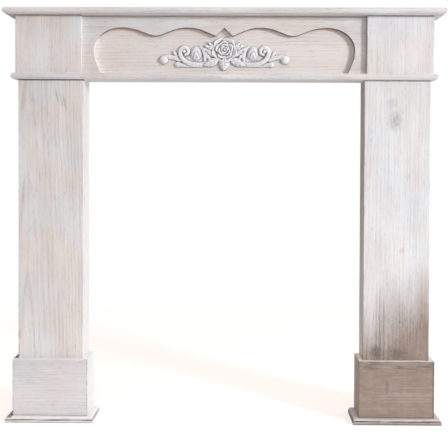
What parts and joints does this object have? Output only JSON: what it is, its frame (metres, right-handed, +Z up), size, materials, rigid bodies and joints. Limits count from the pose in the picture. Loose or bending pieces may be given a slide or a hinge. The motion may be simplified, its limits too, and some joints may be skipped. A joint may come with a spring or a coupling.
{
  "type": "fireplace mantel surround",
  "caption": "Free-standing whitewashed wooden fireplace surround: shelf, frieze with a scalloped recess and moulded rose, hollow box legs on plinths and base plates.",
  "frame": {"origin": "on the floor, under the middle of the whole part's box", "axes": "+Z up, +X to the right when facing the surround, -Y towards the room, +Y towards the wall"},
  "size_m": [1.105, 0.105, 1.04],
  "materials": {
    "washed_top_wood": "brushed white wash over open grain, matt, worn at the edges",
    "washed_leg_wood": "brushed white wash over open grain, matt, worn at the edges",
    "washed_plinth_wood": "brushed white wash over open grain, matt, worn at the edges",
    "thinly_washed_panel": "thin white wash with the warm wood showing through, matt",
    "raw_frame_wood": "bare planed softwood",
    "beech_dowel": "bare hardwood",
    "moulded_ornament": "moulded composite, painted matt white with grey in the hollows",
    "zinc_plated_steel": "zinc plated"
  },
  "bodies": {
    "root": {"base_plate_left": "washed_plinth_wood", "base_plate_right": "washed_plinth_wood", "base_screws": "zinc_plated_steel", "cornice_batten": "raw_frame_wood", "cornice_batten_screws": "zinc_plated_steel", "cornice_board": "washed_top_wood", "frieze_back_panel": "thinly_washed_panel", "frieze_block_left": "washed_top_wood", "frieze_block_right": "washed_top_wood", "frieze_fret_panel": "washed_top_wood", "frieze_rear_rail": "raw_frame_wood", "frieze_rib_left": "raw_frame_wood", "frieze_rib_right": "raw_frame_wood", "frieze_side_left": "washed_top_wood", "frieze_side_right": "washed_top_wood", "leg_back_rail_left": "raw_frame_wood", "leg_back_rail_right": "raw_frame_wood", "leg_dowels": "beech_dowel", "leg_foot_block_left": "raw_frame_wood", "leg_foot_block_right": "raw_frame_wood", "leg_front_left": "washed_leg_wood", "leg_front_right": "washed_leg_wood", "leg_inner_corner_strip_left": "raw_frame_wood", "leg_inner_corner_strip_right": "raw_frame_wood", "leg_inner_side_left": "washed_leg_wood", "leg_inner_side_right": "washed_leg_wood", "leg_outer_corner_strip_left": "raw_frame_wood", "leg_outer_corner_strip_right": "raw_frame_wood", "leg_outer_side_left": "washed_leg_wood", "leg_outer_side_right": "washed_leg_wood", "leg_top_block_left": "raw_frame_wood", "leg_top_block_right": "raw_frame_wood", "leg_top_screws": "zinc_plated_steel", "mantel_shelf": "washed_top_wood", "plinth_front_left": "washed_plinth_wood", "plinth_front_right": "washed_plinth_wood", "plinth_inner_side_left": "washed_plinth_wood", "plinth_inner_side_right": "washed_plinth_wood", "plinth_outer_side_left": "washed_plinth_wood", "plinth_outer_side_right": "washed_plinth_wood", "rose_applique": "moulded_ornament", "shelf_batten": "raw_frame_wood", "shelf_screws": "zinc_plated_steel"}
  },
  "joints": []
}
